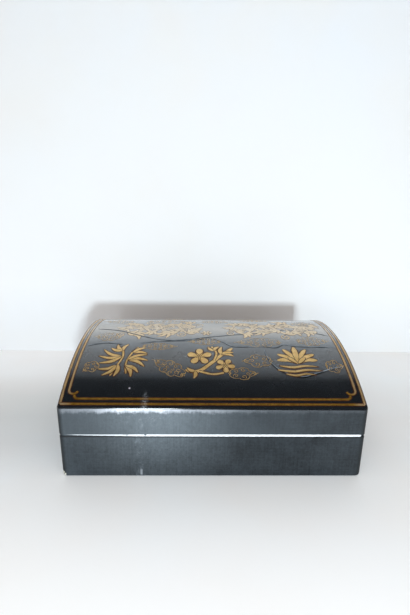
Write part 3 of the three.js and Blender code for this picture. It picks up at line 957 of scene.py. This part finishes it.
scattered = cloud_tree()
scatter("long_clouds", draw_cloud("long_cloud", (0.0155, 0.0088), 8, (-0.0036, 0.0036), 0.010), (
    # centre, turn in degrees, stretch across and up
    ((-0.0438, -0.0825), -34, (1.02, 1.1)),
    ((-0.060, -0.046), 180, (0.95, 0.75)),
    ((-0.006, -0.035), 0, (0.9, 0.85)),
    ((0.056, -0.036), 0, (1.3, 1.15)),
    ((0.115, -0.033), 180, (0.9, 1.1)),
    ((-0.118, -0.024), 0, (0.75, 1.2)),
))
scatter("round_clouds", draw_cloud("round_cloud", (0.0105, 0.0086), 5, (), 0.006), (
    ((-0.1262, -0.081), 40, (0.68, 0.9)),
    ((0.030, -0.090), 180, (1.15, 0.95)),
    ((0.050, -0.071), 0, (1.2, 1.15)),
    ((0.1285, -0.079), 180, (0.72, 1.1)),
))

# The crown scrolls
# Two winding vines with full leaves and curled tendrils run over the crown of the vault, and a
# small rosette stands between them.


def add_vine(drawing, points, nodes_along, length, half_width):
    add_stroke(drawing, points, half_width, leaf, 70)
    for i in range(nodes_along):
        share = (i + 0.5) / nodes_along
        here, ahead_of = along(points, share), along(points, min(share + 0.02, 1.0))
        run = math.degrees(math.atan2(ahead_of.y - here.y, ahead_of.x - here.x))
        side = 1 if i % 2 else -1
        fullness = 0.7 + 0.3 * math.sin(math.pi * share)
        angles = [run + side * lean for lean in (28, 66, 104)]
        add_fan(drawing, here, angles, length * fullness, 0.0026, leaf, -side * 0.22)
        if i % 3 == 1:
            away = math.radians(run - side * 70)
            centre = here + Vector((math.cos(away), math.sin(away))) * 0.0105
            add_curl(drawing, centre, 0.0062, run + side * 110, side * 1.4, 0.0007)


vines = new_drawing("crown_vines")
left_vine = [
    (-0.104, 0.010), (-0.092, -0.019), (-0.070, 0.018), (-0.047, -0.017), (-0.028, 0.024),
    (-0.020, -0.004),
]
right_vine = [
    (0.022, -0.008), (0.040, 0.026), (0.066, -0.012), (0.092, 0.026), (0.112, -0.008), (0.126, 0.016),
]
for vine, leaf_nodes in ((left_vine, 12), (right_vine, 13)):
    add_vine(vines, vine, leaf_nodes, 0.0165, 0.003)
    add_vine(vines, [(x, 0.006 - y * 0.8) for x, y in vine], leaf_nodes, 0.0135, 0.0024)
for k in range(6):
    add_fan(vines, (-0.0055, -0.013), (60 * k,), 0.0066, 0.0016, petal, 0)
gild("crown_vines", vines, leaf_finish, 0.0003)

# The lifted varnish
# A clear film over the gilding has lifted and left wavy edges across the vault, and a round one
# under the lotus. Each edge is a fine ridge, with painted shade along it and a painted highlight along its
# far side.
film_edges = (
    [(-0.138, -0.046), (-0.128, -0.042), (-0.116, -0.040), (-0.100, -0.043)],
    [
        (-0.080, -0.040), (-0.060, -0.036), (-0.030, -0.034), (0.000, -0.029), (0.012, -0.036),
        (0.026, -0.0465), (0.056, -0.046), (0.072, -0.048), (0.082, -0.042), (0.100, -0.046),
        (0.139, -0.047),
    ],
    [
        (-0.137, -0.002), (-0.109, -0.008), (-0.071, -0.027), (-0.040, -0.033), (0.010, -0.022),
        (0.060, -0.012), (0.092, -0.002), (0.115, -0.008), (0.139, -0.020),
    ],
)
round_edge = [
    (0.058, -0.052), (0.060, -0.066), (0.067, -0.082), (0.080, -0.092), (0.094, -0.095),
    (0.112, -0.089), (0.128, -0.083), (0.139, -0.081),
]


def film_edge(name, dark, light):
    finish, shader, spot = new_finish(name, {"IOR": 1.5, "Specular IOR Level": 0.1})
    patches = spot.noise(90.0, 4.0, 0.6)
    colour = patches.mapped(0.4, 0.6, 0.0, 1.0).blend((*dark, 1), (*light, 1))
    feed(shader, {"Base Color": colour, "Roughness": 0.7 + patches * 0.2})
    return finish


shade_side, light_side = new_drawing("film_shade"), new_drawing("film_light")
light_half_width, film_gap = 0.0005, 0.0004


def add_ridge(edge, shade_half_width, swell):
    add_stroke(shade_side, edge, shade_half_width, swell, 90)
    light_edge = [(x, y + shade_half_width + film_gap) for x, y in edge]
    add_stroke(light_side, light_edge, light_half_width, even, 90)


for edge in film_edges:
    add_ridge(edge, 0.00055, even)
add_ridge(round_edge, 0.0011, leaf)
shade_finish = film_edge("film_shade", (0.002, 0.002, 0.002), (0.012, 0.014, 0.016))
light_finish = film_edge("film_light", (0.08, 0.1, 0.12), (0.24, 0.28, 0.32))
paint("varnish_edge_shade", shade_side, shade_finish, 0.0, 0.4, 1.0, "vault_lacquer")
paint("varnish_edge_light", light_side, light_finish, 0.0, 0.7, 1.0, "vault_lacquer")

# The table and the backdrop
# A pale table, greyer near the box as painted shade and paler to the right as painted light, and a white
# card close behind the box that darkens above the picture, for the vault to mirror. The card lets light
# and the views from behind through.
scene = bpy.context.scene


def pale_surface(name, along_axis, low, high, stops, fade=0.0):
    """A matt surface whose grey changes with one of its coordinates, and grows paler to the right as
    painted light.
    """
    finish, shader, spot = new_finish(name, {"Roughness": 0.8, "Specular IOR Level": 0.1})
    share = spot.split()[along_axis].mapped(low, high, 0.0, 1.0)
    grey = share.more("ShaderNodeValToRGB", {"stops": stops}, {"Fac": share})
    right_hand = spot.split()[0].mapped(0.1, 0.24, 0.0, fade, "SMOOTHSTEP")
    grey = right_hand.blend(grey, (0.86, 0.9, 0.92, 1))
    mottle = spot.noise(7.0, 3.0).mapped(0.3, 0.7, 0.0, 1.0)
    feed(shader, {"Base Color": mottle.blend(grey, grey * 0.975)})
    return finish, shader


def stage_mesh(name, corners, finish):
    mesh = bpy.data.meshes.new(name)
    mesh.from_pydata(corners, [], [(0, 1, 2, 3)])
    mesh.materials.append(finish)
    made = bpy.data.objects.new(name, mesh)
    scene.collection.objects.link(made)


table_reach = 3.0
# Painted shade in the grey band near the box, and painted light to the right
table_finish, _ = pale_surface(
    "pale_table", 1, -0.28, 0.22,
    [(0.0, (0.98, 0.99, 1.0, 1)), (0.3, (0.83, 0.87, 0.9, 1)), (0.42, (0.685, 0.715, 0.735, 1)),
     (0.53, (0.65, 0.68, 0.69, 1)), (0.63, (0.71, 0.74, 0.74, 1)), (0.78, (0.88, 0.91, 0.93, 1)),
     (1.0, (0.97, 0.98, 1.0, 1))],
    0.7,
)
sides = ((-1, -1), (1, -1), (1, 1), (-1, 1))
stage_mesh("table", [(x * table_reach, y * table_reach, -0.0001) for x, y in sides], table_finish)

card_distance, card_height, card_reach = 0.2, 1.2, 1.3
card_finish, card_shader = pale_surface(
    "white_card", 2, 0.0, card_height,
    [(0.0, (0.69, 0.71, 0.74, 1)), (0.1, (0.77, 0.78, 0.8, 1)), (0.28, (0.68, 0.695, 0.715, 1)),
     (0.44, (0.61, 0.64, 0.68, 1)), (0.68, (0.37, 0.43, 0.5, 1)), (1.0, (0.02, 0.02, 0.02, 1))],
)
card_tree = card_finish.node_tree
behind = Wire.node(card_tree, "ShaderNodeNewGeometry", {}, {}, 6)
shading = Wire.node(card_tree, "ShaderNodeLightPath", {}, {}, 1)
clear = Wire.node(card_tree, "ShaderNodeBsdfTransparent", {}, {})
ways = {0: behind.most(shading), 1: Wire(card_shader.outputs[0]), 2: clear}
open_way = behind.more("ShaderNodeMixShader", {}, ways)
card_tree.links.new(open_way.socket, card_tree.nodes["Material Output"].inputs[0])
stage_mesh(
    "card",
    [(x * card_reach, card_distance, z * card_height) for x, z in ((-1, 0), (1, 0), (1, 1), (-1, 1))],
    card_finish,
)

# The light
# Two lamps stand low behind the camera, a far one to the right and a softer, nearer one to the
# left, which alone is mirrored in the box. A large one hangs over the camera, and the rest is the
# light of a plain warm room, which the lacquer mirrors as almost dark.
world = bpy.data.worlds.new("room")
scene.world = world
world.use_nodes = True
room_tree = world.node_tree
seen = Wire.node(room_tree, "ShaderNodeLightPath", {}, {}, 0)
mirrored = Wire.node(room_tree, "ShaderNodeLightPath", {}, {}, 3)
room = Wire.node(room_tree, "ShaderNodeBackground", {}, {0: (1.0, 0.86, 0.76, 1), 1: 0.48})
dim = Wire.node(room_tree, "ShaderNodeBackground", {}, {0: (0.8, 0.9, 1.0, 1), 1: 0.05})
white = Wire.node(room_tree, "ShaderNodeBackground", {}, {0: (0.86, 0.9, 0.93, 1), 1: 1.0})
unseen = seen.more("ShaderNodeMixShader", {}, {0: mirrored, 1: room, 2: dim})
both = seen.more("ShaderNodeMixShader", {}, {0: seen, 1: unseen, 2: white})
room_tree.links.new(both.socket, room_tree.nodes["World Output"].inputs[0])


def soft_lamp(name, place, aim, width, height, power, colour):
    lamp = bpy.data.lights.new(name, "AREA")
    lamp.shape = "RECTANGLE"
    lamp.size = width
    lamp.size_y = height
    lamp.energy = power
    lamp.color = colour
    made = bpy.data.objects.new(name, lamp)
    scene.collection.objects.link(made)
    made.location = place
    made.rotation_euler = (Vector(place) - Vector(aim)).to_track_quat("Z", "Y").to_euler()
    return made


for name, place, aim, width, height, power, colour, is_mirrored in (
    ("right_lamp", (0.135, -1.35, 0.291), (0, 0, 0.1), 0.09, 0.09, 16.0, (0.8, 0.93, 1.0), False),
    ("left_lamp", (-0.18, -1.0, 0.27), (0, 0, 0.1), 0.2, 0.16, 1.5, (0.85, 0.94, 1.0), True),
    ("high_lamp", (0.0, -0.9, 1.3), (0, -0.1, 0), 1.3, 0.8, 5.4, (1.0, 1.0, 1.0), False),
):
    soft_lamp(name, place, aim, width, height, power, colour).visible_glossy = is_mirrored

# The camera
# A wide lens stands close in front of the box, a little above it and to its left. Its place and
# its angles were fitted to the outline of the box in the photograph.
scene.view_settings.view_transform = "Standard"
yaw, pitch, roll = (math.radians(angle) for angle in (0.995, 16.578, -0.692))
ahead = Vector((math.sin(yaw) * math.cos(pitch), math.cos(yaw) * math.cos(pitch), -math.sin(pitch)))
level_right = Vector((math.cos(yaw), -math.sin(yaw), 0))
level_down = ahead.cross(level_right)
right = level_right * math.cos(roll) + level_down * math.sin(roll)
down = level_down * math.cos(roll) - level_right * math.sin(roll)
camera = bpy.data.objects.new("camera", bpy.data.cameras.new("camera"))
scene.collection.objects.link(camera)
camera.data.lens = 24
camera.data.sensor_width = 36
camera.data.clip_start = 0.02
facing = Matrix((right, -down, -ahead)).transposed().to_4x4()
camera.matrix_world = Matrix.Translation((-0.0153, -0.47312, 0.28132)) @ facing
scene.camera = camera
